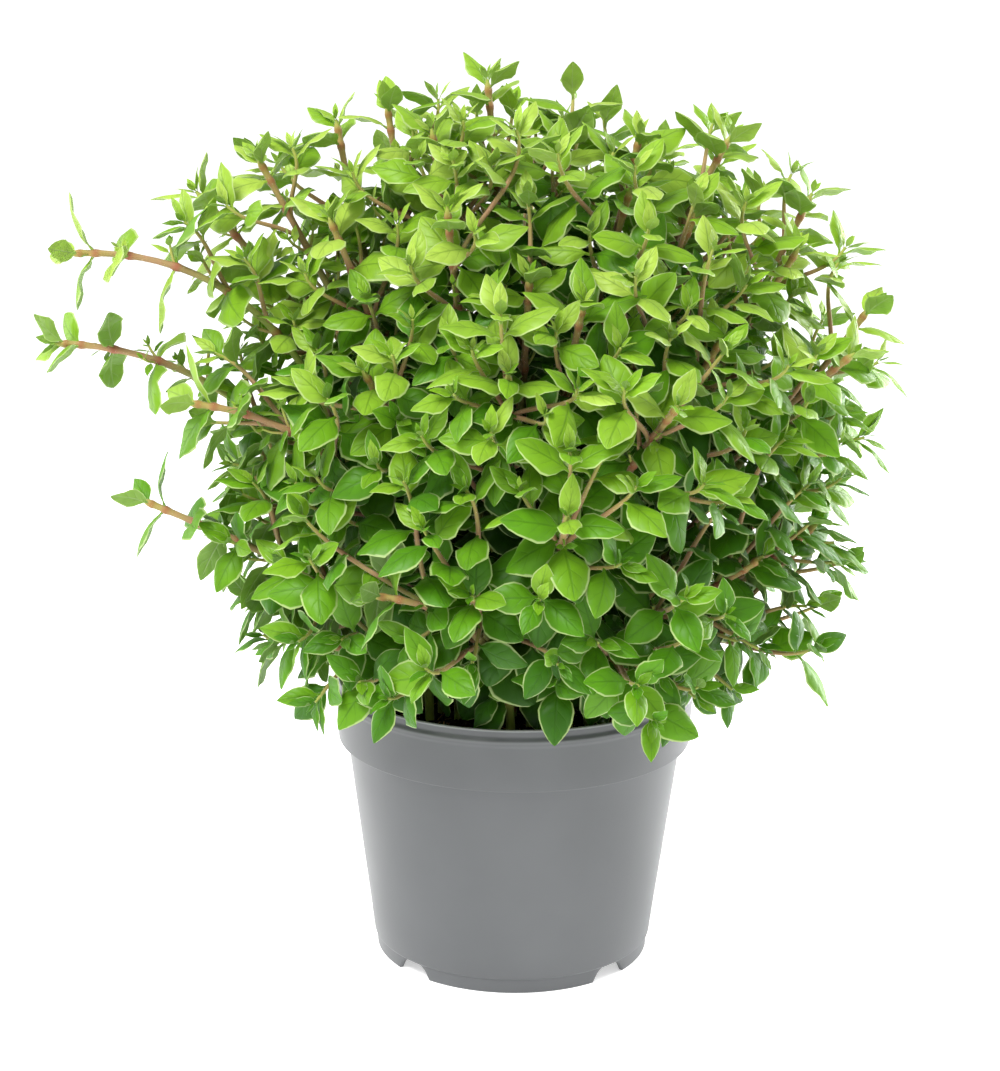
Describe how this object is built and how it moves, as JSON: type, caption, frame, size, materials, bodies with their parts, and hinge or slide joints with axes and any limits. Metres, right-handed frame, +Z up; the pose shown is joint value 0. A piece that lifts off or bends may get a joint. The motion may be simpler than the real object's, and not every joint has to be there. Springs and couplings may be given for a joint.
{
  "type": "potted herb",
  "caption": "Bushy oregano plant with crossed pairs of small leaves, growing in soil in a round tapering plastic herb pot that stands on its own feet.",
  "frame": {"origin": "on the pot's axis, in the plane of the feet and the middle pad that it stands on", "axes": "+Z up along the pot's axis; -Y is the side that the picture shows; +X is that view's right, away from the long arching stems"},
  "size_m": [0.2798, 0.2145, 0.3006],
  "materials": {
    "pot_plastic": "satin grey injection-moulded polypropylene",
    "potting_soil": "crumbly dark peat potting mix",
    "oregano_foliage": "soft matt green leaves with pale rims, on green to red-brown stems"
  },
  "bodies": {
    "root": {"pot": "pot_plastic", "soil": "potting_soil", "leafy_stem_01": "oregano_foliage", "leafy_stem_02": "oregano_foliage", "leafy_stem_03": "oregano_foliage", "leafy_stem_04": "oregano_foliage", "leafy_stem_05": "oregano_foliage", "leafy_stem_06": "oregano_foliage", "leafy_stem_07": "oregano_foliage", "leafy_stem_08": "oregano_foliage", "leafy_stem_09": "oregano_foliage", "leafy_stem_10": "oregano_foliage", "leafy_stem_11": "oregano_foliage", "leafy_stem_12": "oregano_foliage", "leafy_stem_13": "oregano_foliage", "leafy_stem_14": "oregano_foliage", "leafy_stem_15": "oregano_foliage", "leafy_stem_16": "oregano_foliage", "leafy_stem_17": "oregano_foliage", "leafy_stem_18": "oregano_foliage", "leafy_stem_19": "oregano_foliage", "leafy_stem_20": "oregano_foliage", "leafy_stem_21": "oregano_foliage", "leafy_stem_22": "oregano_foliage", "leafy_stem_23": "oregano_foliage", "leafy_stem_24": "oregano_foliage", "leafy_stem_25": "oregano_foliage", "leafy_stem_26": "oregano_foliage", "leafy_stem_27": "oregano_foliage", "leafy_stem_28": "oregano_foliage", "leafy_stem_29": "oregano_foliage", "leafy_stem_30": "oregano_foliage", "leafy_stem_31": "oregano_foliage", "leafy_stem_32": "oregano_foliage", "leafy_stem_33": "oregano_foliage", "leafy_stem_34": "oregano_foliage", "leafy_stem_35": "oregano_foliage", "leafy_stem_36": "oregano_foliage", "leafy_stem_37": "oregano_foliage", "leafy_stem_38": "oregano_foliage", "leafy_stem_39": "oregano_foliage", "leafy_stem_40": "oregano_foliage", "leafy_stem_41": "oregano_foliage", "leafy_stem_42": "oregano_foliage", "leafy_stem_43": "oregano_foliage", "leafy_stem_44": "oregano_foliage", "leafy_stem_45": "oregano_foliage", "leafy_stem_46": "oregano_foliage", "leafy_stem_47": "oregano_foliage", "leafy_stem_48": "oregano_foliage", "leafy_stem_49": "oregano_foliage", "leafy_stem_50": "oregano_foliage", "leafy_stem_51": "oregano_foliage"}
  },
  "joints": []
}
